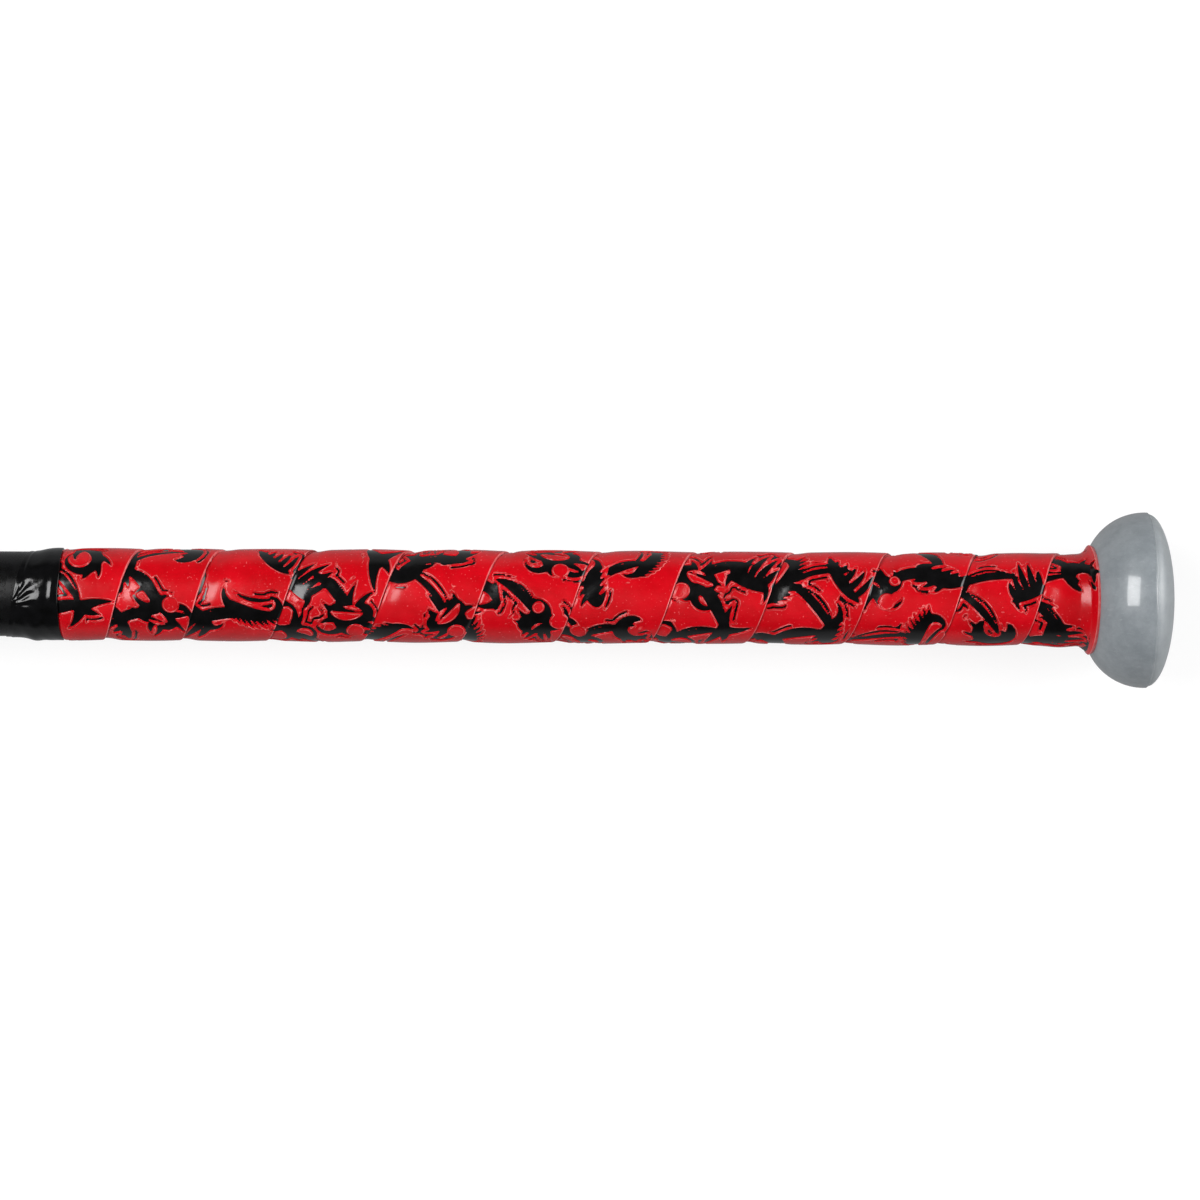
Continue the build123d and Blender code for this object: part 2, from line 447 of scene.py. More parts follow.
def strip_rise(turn, across):
    """Height of the black ground over the line that it lies on."""
    width = np.maximum(shown_width(turn), 0.001 * MM)
    share = np.clip(across / width, 0, 1)
    crown = MIDDLE_RISE * np.minimum(1, width / PITCH) * np.sin(math.pi * share)
    rise = EDGE_RISE + (FAR_RISE - EDGE_RISE) * share + crown
    # It sinks before the next turn's edge, in some turns more than in others
    sink_lead, sink_length = 4.6 * MM, 3.4 * MM
    sink = (0.29 + 0.12 * np.sin(0.83 * turn)) * MM
    rise = rise - sink * smooth_step((across - width + sink_lead) / sink_length)
    covered = np.clip((across - width) / (0.6 * MM), 0, 1)
    rise = rise + (HIDDEN_RISE - rise) * covered
    along = edge_line(turn) - across
    doubled = DOUBLE_RISE * ridge(along - LIP_EDGE + 8.6 * MM, 3 * MM)
    rise = rise + (flare_rise(along, rise) - rise) * facing_front(turn)
    # The ring's edge has a bead, and the whole strip is a little uneven
    bead = 0.10 * MM * ridge(across, 0.8 * MM) * (turn < 0)
    uneven = 0.035 * MM * np.sin(along / (3.1 * MM) + 1.7 * np.sin(turn))
    uneven = uneven + 0.03 * MM * np.sin(2.3 * turn + along / (7 * MM))
    return rise + (doubled + bead + uneven) * (1 - covered)


def tape_squeeze(along):
    """What the finishing tape leaves of the strip's height: all of it where it doesn't reach."""
    left_over = 0.46
    past_tape = smooth_step((along - TAPE_HIGH[0] + 0.3 * MM) / (1.2 * MM))
    return left_over + (1 - left_over) * past_tape


def strip_points(turn, across, rise):
    """The strip's points in space. rise is the height over the line that it lies on."""
    along = edge_line(turn) - across
    x, radius = raised_point(along, rise * tape_squeeze(along))
    return around(x, radius, START_ANGLE - turn)


def last_turn():
    """How far the strip is wound when all of it has passed the grip's inner end."""
    most_turns = 14
    turns = np.linspace(0, most_turns * FULL_TURN, 4000)
    return turns[np.argmax(edge_line(turns) < GRIP_END_X + 1.0 * MM)]


def make_ground(name, half_turn):
    """The strip itself: one long closed ribbon, wound and overlapped."""
    turns = np.arange(-FULL_TURN + GROUND_RING_GAP, last_turn(), FULL_TURN / GROUND_TURN_STEPS)
    turns = turns[:, None]
    reach = np.minimum(shown_width(turns) + OVERLAP, edge_line(turns) - GRIP_END_X)
    # Shares of the strip's width: over its top to the far edge, and back along its underside,
    # which is lifted where it lies over the turn before
    over = np.concatenate([np.linspace(0, 0.84, 26), [0.87, 0.93, 1.0]])[None, :]
    back = np.array([1.0, 0.6, 0.28, 0.20, 0.0])[None, :]
    lifted = np.array([0.0, 0.0, 0.0, 1.0, 1.0])[None, :]
    top = over * reach
    under = back * reach
    gap_below, gap_between = 0.01 * MM, 0.02 * MM
    under_rise = gap_below + (HIDDEN_RISE + gap_between) * lifted + 0 * under
    across = np.concatenate([top, under], axis=1)
    rise = np.concatenate([strip_rise(turns, top), under_rise], axis=1)
    points = strip_points(turns, across, rise)
    rows, columns = across.shape
    faces = grid_faces(rows, columns)
    faces.append(tuple(range(columns)))
    faces.append(tuple(range((rows - 1) * columns, rows * columns))[::-1])
    piece = add_piece(name, points.reshape(-1, 3), faces, BLACK, half_turn=half_turn)
    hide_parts(name.replace("_ground", ""))


# --- The ornament ---
# A free pattern of thorns, hooks, combs and leaves, drawn as a distance field over the flat
# strip: negative inside the black. Lengths on the flat strip are in millimetres.

CELL = 0.3
FAR_AWAY = 9.0
MOTIF_SPACING = 8.8
MOTIF_SIZES = (5.3, 6.9)


class Ornament:
    """Black strokes laid on a plain field, and plain ones cut out of the black."""

    def __init__(self, length, width):
        self.u = np.arange(0, length + CELL, CELL)
        self.v = np.arange(-1, width + CELL, CELL)
        self.field = np.full((len(self.u), len(self.v)), FAR_AWAY)
        self.cut_out = np.zeros(self.field.shape, bool)

    def stroke(self, path, radii, clear=False):
        """A line of swelling width along a path, in black or, if clear, cut out of the black."""
        pad = max(radii) + 1.2
        low, high = path.min(0) - pad, path.max(0) + pad
        rows = slice(*np.searchsorted(self.u, (low[0], high[0])))
        columns = slice(*np.searchsorted(self.v, (low[1], high[1])))
        u, v = self.u[rows, None], self.v[None, columns]
        if u.size == 0 or v.size == 0:
            return
        nearest = np.full((u.size, v.size), FAR_AWAY)
        for start, end, first, second in zip(path[:-1], path[1:], radii[:-1], radii[1:]):
            step = end - start
            share = ((u - start[0]) * step[0] + (v - start[1]) * step[1]) / (step @ step)
            share = np.clip(share, 0, 1)
            gap = np.hypot(u - start[0] - share * step[0], v - start[1] - share * step[1])
            np.minimum(nearest, gap - first - share * (second - first), out=nearest)
        part = self.field[rows, columns]
        if clear:
            np.maximum(part, -nearest, out=part)
            self.cut_out[rows, columns] |= nearest < CELL
        else:
            np.minimum(part, nearest, out=part)

    def echo(self, gap, half_width):
        """Thin lines beside the black's outline, here and there, but in no cut-out."""
        u, v = self.u[:, None], self.v[None, :]
        wanted = np.sin(0.23 * u + 0.9 * np.sin(0.31 * v)) * np.sin(0.37 * v + 0.11 * u) - 0.12
        wanted = smooth_step(wanted / 0.25) * ~self.cut_out
        line = np.abs(self.field - gap) - half_width * wanted + 0.9 * (1 - wanted)
        np.minimum(self.field, line, out=self.field)

    def sample(self, u, v):
        """The field between its cells."""
        i = np.clip((u - self.u[0]) / CELL, 0, len(self.u) - 1.001)
        j = np.clip((v - self.v[0]) / CELL, 0, len(self.v) - 1.001)
        i0, j0 = i.astype(int), j.astype(int)
        a, b = i - i0, j - j0
        near = (1 - b) * self.field[i0, j0] + b * self.field[i0, j0 + 1]
        far = (1 - b) * self.field[i0 + 1, j0] + b * self.field[i0 + 1, j0 + 1]
        return (1 - a) * near + a * far


class Stamp:
    """Draws a motif's strokes, given in the motif's own unit frame, at a place on the strip."""

    def __init__(self, ornament, place, size, angle, flip, rng):
        self.ornament, self.size, self.rng = ornament, size, rng
        c, s = size * math.cos(angle), size * math.sin(angle)
        self.matrix = np.array([[c, s], [-s * flip, c * flip]])
        self.place = place

    def path(self, start, heading, length, turn, curl=0.0, steps=16):
        """A curve from a start, heading in degrees, that turns by so many degrees."""
        share = (np.arange(steps) + 0.5) / steps
        angle = np.radians(heading + turn * (share + curl * (share * share - share)))
        steps_taken = length / steps * np.stack([np.cos(angle), np.sin(angle)], axis=1)
        return np.concatenate([[start], np.array(start) + np.cumsum(steps_taken, axis=0)])

    def draw(self, path, radii, clear=False):
        """A stroke given in the motif's own frame."""
        self.ornament.stroke(path @ self.matrix + self.place, radii * self.size, clear)

    def thorn(self, start, heading, length, turn, width, power=0.8):
        """A stroke that starts wide and ends in a point."""
        path = self.path(start, heading, length, turn)
        self.draw(path, width * np.linspace(1, 0, len(path)) ** power)

    def blade(self, start, heading, length, turn, width, clear=False, lean=0.0, power=0.75):
        """A stroke that is pointed at both ends."""
        path = self.path(start, heading, length, turn)
        self.draw(path, width * leaf_widths(len(path), power, lean), clear)

    def disc(self, x, y, radius, clear=False):
        """A round spot."""
        self.draw(np.array([(x, y), (x + 0.01, y)]), np.array([radius, radius]), clear)


def leaf_widths(count, power=0.75, lean=0.0):
    """Widths from 0 to 1 and back, with the widest place moved by lean."""
    share = np.linspace(0, 1, count) ** (1 + lean)
    return np.clip(np.sin(math.pi * share), 0, 1) ** power


def polar(radius, degrees):
    """A place at this distance and direction from a motif's middle."""
    return radius * math.cos(math.radians(degrees)), radius * math.sin(math.radians(degrees))


def heading_at(path, i):
    """Which way a path runs at one of its points, in degrees."""
    step = path[i + 1] - path[i]
    return math.degrees(math.atan2(step[1], step[0]))


def burr(stamp):
    """A heavy round body with thorns and two bites out of it, and a hook round each bite."""
    stamp.disc(0, 0, 0.55)
    stamp.disc(0.36, -0.20, 0.42)
    for angle, bite in ((142, 0.36), (236, 0.23)):
        stamp.thorn(polar(0.36, angle - 38), angle - 22, 2.2 * bite + 0.7, 168, 0.22)
        stamp.disc(*polar(0.42 + 0.8 * bite, angle), bite, clear=True)
    for angle in (-62, -34, -6, 22, 50, 78):
        bend = stamp.rng.choice((-1, 1)) * stamp.rng.uniform(15, 45)
        stamp.thorn(polar(0.42, angle), angle, stamp.rng.uniform(0.6, 1.0), bend, 0.13)
    stamp.blade((-0.05, 0.12), -35, 0.66, 70, 0.065, clear=True)


def feather(stamp):
    """A heavy blade with a comb of hairs along one side and a hook at each end."""
    path = stamp.path((-1.0, -0.3), 24, 2.2, -58, 0.2, 24)
    stamp.draw(path, 0.25 * leaf_widths(25, 0.6, -0.25))
    for i in range(2, 23, 2):
        length = 0.34 + 0.40 * math.sin(math.pi * (i - 1) / 22) ** 0.5
        stamp.thorn(path[i], heading_at(path, i) + 64, length, -24, 0.085)
    stamp.thorn(path[-4], -45, 0.95, -150, 0.19)
    stamp.thorn(path[3], 200, 0.8, 75, 0.16)
    stamp.blade((-0.8, -0.72), 22, 1.7, -60, 0.07)


def scroll(stamp):
    """A thick stroke that curls round a plain spot, with barbs on its back."""
    path = stamp.path((-0.85, -0.75), 25, 3.5, 345, 0.25, 34)
    share = np.linspace(0, 1, 35)
    stamp.draw(path, 0.30 * np.sin(math.pi * np.clip(share, 0.04, 1)) ** 0.6 * (1.1 - share))
    for i, length in ((5, 0.55), (9, 0.8), (13, 0.7), (17, 0.5)):
        stamp.thorn(path[i], heading_at(path, i) - 48, length, 35, 0.15)
    stamp.thorn(path[2], 170, 0.85, -70, 0.17)


def flames(stamp):
    """Five curved thorns side by side from one root."""
    stamp.blade((-0.8, -0.85), 86, 1.75, 16, 0.25)
    for i, length in enumerate((0.8, 1.25, 1.6, 1.45, 0.9)):
        root = (-0.75, (i - 2) * 0.29)
        stamp.blade(root, 4 + 9 * (i - 2), length, 38 - 9 * i, 0.135, lean=-0.45)
    stamp.thorn((-0.75, 0.6), 125, 0.75, 80, 0.15)
    stamp.thorn((-0.75, -0.6), 215, 0.6, -60, 0.13)


def split_leaf(stamp):
    """A broad leaf with slits let into it, and barbs on one side."""
    path = stamp.path((-0.95, -0.1), 18, 1.95, -36, 0, 18)
    stamp.draw(path, 0.46 * leaf_widths(19, 0.8, -0.2))
    for x, length in ((-0.50, 0.62), (-0.16, 0.80), (0.18, 0.70), (0.48, 0.45)):
        stamp.blade((x, -0.12), -52, length, 46, 0.075, clear=True, lean=-0.3)
    for x, heading in ((-0.55, 128), (-0.25, 112), (0.05, 98)):
        stamp.thorn((x, 0.28), heading, 0.6, 45, 0.13)
    stamp.thorn((0.75, 0.0), -15, 0.8, 80, 0.15)


def gills(stamp):
    """A row of curved blades, each shorter than the last, on a heavy line."""
    stamp.blade((-1.05, -0.55), -14, 2.3, 48, 0.22)
    for i in range(5):
        stamp.blade((-0.72 + 0.34 * i, -0.62), 96, 1.15 - 0.15 * i, -34, 0.115, lean=-0.4)


def crescent(stamp):
    """A thick crescent round a plain field, barbed at its back."""
    stamp.blade((-0.45, -0.75), 150, 2.9, -275, 0.31, power=0.7)
    for angle in (160, 185, 210):
        stamp.thorn(polar(0.75, angle), angle, 0.62, 40, 0.13)
    stamp.blade((0.10, -0.25), 60, 0.75, 60, 0.12)


def spur(stamp):
    """Long curved points from one root."""
    stamp.disc(0, 0, 0.24)
    points = ((8, 1.5, 34), (75, 0.9, -40), (140, 1.25, 30), (238, 1.35, -34))
    for heading, length, turn in points:
        stamp.thorn((0, 0), heading, length, turn, 0.28, power=0.95)


def thicket(stamp):
    """A wide black field that holds plain leaves and one disc, with thorns round its rim."""
    spots = ((0, 0, 0.57), (0.44, 0.28, 0.37), (-0.42, 0.26, 0.39), (0.05, -0.41, 0.39))
    for spot in spots:
        stamp.disc(*spot)
    for angle in (-20, 8, 62, 96, 150, 178):
        bend = stamp.rng.choice((-1, 1)) * stamp.rng.uniform(20, 60)
        heading = angle + stamp.rng.uniform(-8, 8)
        stamp.thorn(polar(0.55, angle), heading, stamp.rng.uniform(0.5, 0.9), bend, 0.14)
    for angle, bend in ((232, -150), (308, 150)):
        stamp.thorn(polar(0.57, angle), angle, 1.2, bend, 0.16)
    stamp.disc(0.20, -0.50, 0.33, clear=True)
    stamp.blade((-0.72, 0.34), -34, 1.25, 62, 0.17, clear=True)
    stamp.blade((-0.30, 0.48), 8, 0.80, -40, 0.08, clear=True)


def lobes(stamp):
    """Plain round lobes of different sizes held in a black web, with barbed outlines."""
    stamp.disc(0.05, 0.0, 0.50)
    stamp.blade((-0.75, -0.35), 20, 1.9, 35, 0.30)
    for angle, size in ((75, 0.44), (188, 0.36), (305, 0.32)):
        x, y = polar(0.30 + 0.85 * size, angle)
        stamp.disc(x, y, size + 0.13)
        stamp.disc(x, y, size, clear=True)
        stamp.thorn(polar(0.42 + 1.6 * size, angle - 14), angle + 60, 0.55, 60, 0.11)
    for angle in (10, 30, 128, 150, 250):
        stamp.thorn(polar(0.40, angle), angle + 10, stamp.rng.uniform(0.55, 0.85), 30, 0.10)


# Feathers and lobes are there twice, so that they come up more often
MOTIFS = (
    burr, feather, scroll, flames, lobes, split_leaf,
    crescent, spur, thicket, gills, feather, lobes,
)


def link(ornament, start, end, side, rng):
    """A swelling line from one motif to the next, with a thinner one beside it."""
    across = np.array([start[1] - end[1], end[0] - start[0]]) * side
    share = np.linspace(0, 1, 16)[:, None]
    for bow, width in ((0.20, rng.uniform(0.7, 1.3)), (0.42, 0.30)):
        middle = (start + end) / 2 + across * bow
        path = (1 - share) ** 2 * start + 2 * share * (1 - share) * middle + share**2 * end
        ornament.stroke(path, width * leaf_widths(16, 0.6))


def draw_ornament(length, width, seed):
    """Motifs on alternate sides of the strip, most of them joined to the next."""
    rng = random.Random(seed)
    ornament = Ornament(length, width)
    here = np.array([0.0, width / 2])
    recent = []
    side = 1
    for k in range(int(length / MOTIF_SPACING) + 2):
        side = -side
        motif = rng.choice([m for m in MOTIFS if m not in recent])
        recent = (recent + [motif])[-3:]
        u = (k + 0.5) * MOTIF_SPACING + rng.uniform(-1, 1)
        there = np.array([u, width * (0.5 + side * rng.uniform(0.20, 0.32))])
        if rng.random() < 0.7:
            link(ornament, here, there, side, rng)
        angle = rng.uniform(0, FULL_TURN)
        size = rng.uniform(*MOTIF_SIZES)
        flip = rng.choice((-1, 1))
        motif(Stamp(ornament, there, size, angle, flip, rng))
        here = there
    ornament.echo(1.05, 0.27)
    return ornament


# --- The raised red of the strip ---

def grid_triangles(rows, columns):
    """Two triangles for each cell of a grid of points, with diagonals that take turns."""
    i, j = np.meshgrid(np.arange(rows - 1), np.arange(columns - 1), indexing="ij")
    corner = (i * columns + j).ravel()
    right = corner + 1
    up = corner + columns
    cross = up + 1
    falling = ((i + j).ravel() % 2 == 0)[:, None]
    low = np.where(falling, np.stack([corner, right, cross], 1), np.stack([corner, right, up], 1))
    high = np.where(falling, np.stack([corner, cross, up], 1), np.stack([right, cross, up], 1))
    return np.concatenate([low, high])


def split_at(places, values, triangles, level):
    """Cuts triangles along the line where the values cross a level."""
    above = values[triangles] > level
    count = above.sum(axis=1)
    mixed = (count == 1) | (count == 2)
    whole = triangles[~mixed]
    cut = triangles[mixed]
    alone = above[mixed] == (count[mixed] == 1)[:, None]
    first = np.argmax(alone, axis=1)
    rows = np.arange(len(cut))
    a, b, c = (cut[rows, (first + k) % 3] for k in range(3))
    pairs = np.concatenate([np.stack([a, b], 1), np.stack([a, c], 1)])
    edges, back = np.unique(np.sort(pairs, axis=1), axis=0, return_inverse=True)
    back = back.reshape(-1)
    low, high = edges.T
    share = ((level - values[low]) / (values[high] - values[low]))[:, None]
    new_places = places[low] + share * (places[high] - places[low])
    ab = len(places) + back[:len(cut)]
    ac = len(places) + back[len(cut):]
    pieces = [whole, np.stack([a, ab, ac], 1), np.stack([ab, b, c], 1), np.stack([ab, c, ac], 1)]
    places = np.concatenate([places, new_places])
    values = np.concatenate([values, np.full(len(edges), level)])
    return places, values, np.concatenate(pieces)


def flat_place(turn, across):
    """Where a place on the wound strip is on the flat strip, in millimetres."""
    lead = math.atan(PITCH / (FULL_TURN * WRAP_RADIUS))
    u = WRAP_RADIUS * (turn + FULL_TURN) / math.cos(lead) + across * math.sin(lead)
    return u / MM, across * math.cos(lead) / MM


def cut_out_relief(seed):
    """The red's places on the strip, how far each is from the black, and its triangles."""
    turns = np.arange(-FULL_TURN + RELIEF_RING_GAP, last_turn(), FULL_TURN / RELIEF_TURN_STEPS)
    reach = np.minimum(shown_width(turns), edge_line(turns) - GRIP_END_X)
    # Shares of the shown width, closer together at the rounded edge
    shares = np.concatenate([[0, 0.006, 0.015], np.linspace(0.034, 1, RELIEF_COLUMNS - 2)])
    turn = np.repeat(turns[:, None], len(shares), axis=1)
    across = shares[None, :] * reach[:, None]
    places = np.stack([turn, across], axis=-1).reshape(-1, 2)
    spare_length = 10
    flat_length = flat_place(turns[-1], 0)[0] + spare_length
    ornament = draw_ornament(flat_length, (PITCH + OVERLAP) / MM, seed)
    values = ornament.sample(*flat_place(places[:, 0], places[:, 1])) * MM
    triangles = grid_triangles(len(turns), len(shares))
    for level in (0.0, RELIEF_SLOPE):
        places, values, triangles = split_at(places, values, triangles, level)
    outside_black = values[triangles].mean(axis=1) > 1e-7
    return places, values, triangles[outside_black]


def edge_wall(turn, across, triangles):
    """The strip's cut edge: the wall's foot, and its faces from the red's edge down to it."""
    sides = np.concatenate([triangles[:, [0, 1]], triangles[:, [1, 2]], triangles[:, [2, 0]]])
    sides = sides[(across[sides] < 1e-9).all(axis=1)]
    rim, below = np.unique(sides, return_inverse=True)
    below = below.reshape(-1, 2) + len(turn)
    lean, foot_rise = 0.03 * MM, 0.04 * MM
    foot = strip_points(turn[rim], across[rim] - lean, foot_rise)
    walls = np.stack([sides[:, 1], sides[:, 0], below[:, 0], below[:, 1]], axis=1)
    return foot, walls


def make_relief(name, seed, half_turn):
    """The red plateaus, with sloping sides down to the black ground."""
    places, values, triangles = cut_out_relief(seed)
    turn, across = places.T
    shown = np.clip((shown_width(turn) - across) / (0.5 * MM), 0, 1)
    climb = np.clip(values / RELIEF_SLOPE, 0, 1) * shown
    rise = strip_rise(turn, across) + RELIEF_HEIGHT * climb - SLOPE_FOOT_DEPTH * (climb <= 0)
    rise = rise - BEVEL_DEPTH * (1 - np.minimum(across / BEVEL_WIDTH, 1)) ** 2
    points = strip_points(turn, across, rise)
    foot, walls = edge_wall(turn, across, triangles)
    points = np.concatenate([points, foot])
    faces = triangles.tolist() + walls.tolist()
    piece = add_piece(name, points, faces, RED, half_turn=half_turn)

    # Distances that the red's material reads: from its rims, and from the strip's edge
    measures = {
        "rim_distance": np.minimum(values, across + RIM_AT_EDGE),
        "edge_distance": across,
    }
    for measure, distances in measures.items():
        layer = piece.data.attributes.new(measure, "FLOAT", "POINT")
        distances = np.concatenate([distances, np.zeros(len(foot))])
        layer.data.foreach_set("value", distances / MM)
    tidy_mesh(piece)
    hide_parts(name.replace("_relief", ""))


def tidy_mesh(piece):
    """Welds slivers away and drops loose points."""
    mesh = bmesh.new()
    mesh.from_mesh(piece.data)
    bmesh.ops.remove_doubles(mesh, verts=mesh.verts, dist=WELD_DISTANCE)
    loose = [v for v in mesh.verts if not v.link_faces]
    bmesh.ops.delete(mesh, geom=loose, context="VERTS")
    for face in mesh.faces:
        face.smooth = True
    mesh.to_mesh(piece.data)
    mesh.free()


RED = red_relief()
BLACK = black_ground()
KNOB = knob_plastic()
VINYL = vinyl_tape()
SLEEVE = sleeve_rubber()
CAD_MATERIALS = {
    "core_tube": drawn_aluminium(),
    "end_plug": plug_nylon(),
    "knob_washer": plated_steel("washer_zinc", (0.62, 0.62, 0.60)),
    "knob_screw": plated_steel("screw_zinc", (0.52, 0.52, 0.51)),
}


# --- The turned pieces ---

def arc_points(centre, radii, start, end, count):
    """(x, radius) points along part of an ellipse, from one angle in degrees to another."""
    x, radius = centre
    angles = np.radians(np.linspace(start, end, count))
    return [(x + radii[0] * math.cos(a), radius + radii[1] * math.sin(a)) for a in angles]


def lathe(name, outline, material, half_turn=False):
    """A closed outline of (x, radius) points turned about the stick's axis."""
    segments = 256
    outline = np.array(outline)
    angles = np.arange(segments) * FULL_TURN / segments
    x = np.repeat(outline[:, :1], segments, axis=1)
    points = around(x, np.repeat(outline[:, 1:], segments, axis=1), angles[None, :])
    faces = grid_faces(len(outline), segments, close_rows=True)
    return add_piece(name, points.reshape(-1, 3), faces, material, half_turn=half_turn)


def make_knob(name, half_turn):
    """The knob: neck, round back, parting seam with its flash, dome and end recess."""
    socket_radius = SLEEVE_RADIUS - SLEEVE_WALL
    web_x = RECESS_FLOOR_X - WEB_THICKNESS
    edge = 0.12 * MM
    mouth_round = 0.7 * MM
    flash_x = BACK_CENTRE_X + 0.30 * MM
    root_rise = (SLEEVE_RADIUS - BACK_CENTRE_RADIUS) / BACK_ARC_RADIUS
    root_angle = 180 - math.degrees(math.asin(root_rise))
    dome_end = math.degrees(math.asin((RECESS_RADIUS + mouth_round + 0.06 * MM) / DOME_RADIUS))
    mouth_x = SEAM_X + DOME_HEIGHT * math.cos(math.radians(dome_end))
    back_centre = (BACK_CENTRE_X, BACK_CENTRE_RADIUS)
    mouth_centre = (mouth_x - mouth_round, RECESS_RADIUS + mouth_round)
    neck = [
        (NECK_END_X, socket_radius + edge),
        (NECK_END_X, SLEEVE_RADIUS - edge),
        (NECK_END_X + edge, SLEEVE_RADIUS),
    ]
    back = arc_points(back_centre, (BACK_ARC_RADIUS, BACK_ARC_RADIUS), root_angle, 90.5, 64)
    flash = [
        (flash_x, KNOB_RADIUS - 0.03 * MM),
        (flash_x + 0.03 * MM, KNOB_RADIUS),
        (flash_x + 0.09 * MM, KNOB_RADIUS),
        (flash_x + 0.12 * MM, KNOB_RADIUS - 0.06 * MM),
        (SEAM_X, DOME_RADIUS + 0.16 * MM),
    ]
    dome = arc_points((SEAM_X, 0), (DOME_HEIGHT, DOME_RADIUS), 88, dome_end, 60)
    mouth = arc_points(mouth_centre, (mouth_round, mouth_round), 350, 270, 8)
    recess = [
        (RECESS_FLOOR_X + edge, RECESS_RADIUS),
        (RECESS_FLOOR_X, RECESS_RADIUS - edge),
        (RECESS_FLOOR_X, SCREW_HOLE_RADIUS),
        (web_x, SCREW_HOLE_RADIUS),
        (web_x, socket_radius),
    ]
    outline = neck + back + flash + dome + mouth + recess
    knob = lathe(name + "_shell", outline, KNOB, half_turn=half_turn)
    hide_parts(name)


def make_sleeve():
    """The bare sleeve between the knobs' necks, with softened ends, just clear of the tube."""
    inner = SLEEVE_RADIUS - SLEEVE_WALL + 0.02 * MM
    end = SLEEVE_HIGH[0]
    soft = 0.15 * MM
    outer = [(x * (end - 2 * soft), SLEEVE_RADIUS) for x in np.linspace(-1, 1, 41)]
    outline = [(-end, inner), (-end, SLEEVE_RADIUS - soft)] + outer
    outline += [(end, SLEEVE_RADIUS - soft), (end, inner)]
    sleeve = lathe("tube_sleeve_skin", outline, SLEEVE)
    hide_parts("tube_sleeve")


# --- The finishing tape ---

# Places along the stick: where the tape starts to climb onto the strip's end, the lump over
# that end, the pinch that creases fan out from, and the fold near the outer edge
CLIMB_X = 52.6 * MM
LUMP_X = 54.6 * MM
PINCH_X = 49.6 * MM
FOLD_X = 59.5 * MM


def tape_edge(angle):
    """The tape's slanting inner edge: most of a turn of a helix, which steps back behind."""
    slant_start, slant_end, step_back = 0.22, 0.84, 0.16
    round_share = (angle - FRONT_ANGLE + math.pi) % FULL_TURN / FULL_TURN
    slant = 12.0 * MM * np.clip(round_share - slant_start, 0, slant_end - slant_start)
    slant = slant * (1 - smooth_step((round_share - slant_end) / step_back))
    return TAPE_LOW[0] + 0.2 * MM + slant


def tape_creases(along, front):
    """Creases that fan out from the pinch."""
    side = along - PINCH_X
    rise = SLEEVE_RADIUS * (front + 0.22)
    reach = np.hypot(side, rise)
    fan = np.arctan2(rise, side)
    near = ridge(reach - 4.2 * MM, 2.6 * MM) * ridge(fan - 0.55, 0.75)
    return 0.19 * MM * near * np.sin(fan * 14 + 0.8 * np.sin(reach / (1.1 * MM)))


def tape_height(along, angle):
    """How far the tape's outside stands off the sleeve."""
    # How far round a place is from the front, with the front at 0
    front = (angle - FRONT_ANGLE + math.pi) % FULL_TURN - math.pi
    from_edge = along - tape_edge(angle)
    layers = 0.16 * MM + 0.14 * MM * smooth_step((from_edge - 1.1 * MM) / (0.5 * MM))
    from_climb = along - (CLIMB_X + 1.6 * MM * np.sin(front))
    climb = 0.62 * MM * smooth_step(from_climb / (5.0 * MM))
    lump = 0.30 * MM * ridge(along - LUMP_X, 1.7 * MM) * smooth_step(-np.sin(front) - 0.2)
    lump = lump + 0.12 * MM * np.sin(2 * front + 1.0) * ridge(along - 56 * MM, 2 * MM)
    crease = tape_creases(along, front)
    from_fold = along - (FOLD_X + 0.10 * SLEEVE_RADIUS * front)
    fold = 0.15 * MM * ridge(from_fold, 0.6 * MM) * ridge(front - 0.2, 0.55)
    sag = 0.10 * MM * np.sin(along / (1.05 * MM) - 1.4 * front) * ridge(front - 0.1, 0.8)
    sag = sag * smooth_step((along - 50.5 * MM) / (2 * MM))
    sag = sag * smooth_step((57 * MM - along) / (2 * MM))
    ripple = 0.04 * MM * np.sin(5 * angle + along / (1.3 * MM))
    ripple = ripple * np.sin(along / (0.9 * MM) + 3 * np.sin(angle))
    return layers + climb + lump + crease + fold + sag + ripple


def make_tape(name, half_turn):
    """A few turns of stretched tape, its outside creased and its outer edge over the grip."""
    segments, steps = 320, 72
    angle = (np.arange(segments) * FULL_TURN / segments)[None, :]
    start = tape_edge(angle)
    end = TAPE_HIGH[0] + 0.12 * MM * np.sin(3 * angle + 1) + 0.08 * MM * np.sin(7 * angle)
    along = start + (end - start) * np.linspace(0, 1, steps)[:, None]
    height = tape_height(along, angle)
    first, last = height[:1], height[-1:]
    low = np.full((1, segments), 0.02 * MM)
    grip_end = np.full((1, segments), GRIP_END_X - 0.3 * MM)
    # Rings of points by place and height: up the inner edge, along the outside, down the
    # outer edge, and back along the inside
    rings = [
        (start, low),
        (start, 0.55 * first),
        (start + 0.05 * MM, first * 0.95),
        (along[1:-1], height[1:-1]),
        (end - 0.02 * MM, last * 0.96),
        (end, 0.6 * last),
        (end, 0.42 * last),
        (grip_end, low),
        ((start + GRIP_END_X) / 2, low),
    ]
    along, height = (np.concatenate(parts) for parts in zip(*rings))
    points = around(along, SLEEVE_RADIUS + height, np.repeat(angle, len(along), axis=0))
    points = points.reshape(-1, 3)
    faces = grid_faces(len(along), segments, close_rows=True)
    tape = add_piece(name + "_band", points, faces, VINYL, half_turn=half_turn)
    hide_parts(name)


# --- The whole stick ---

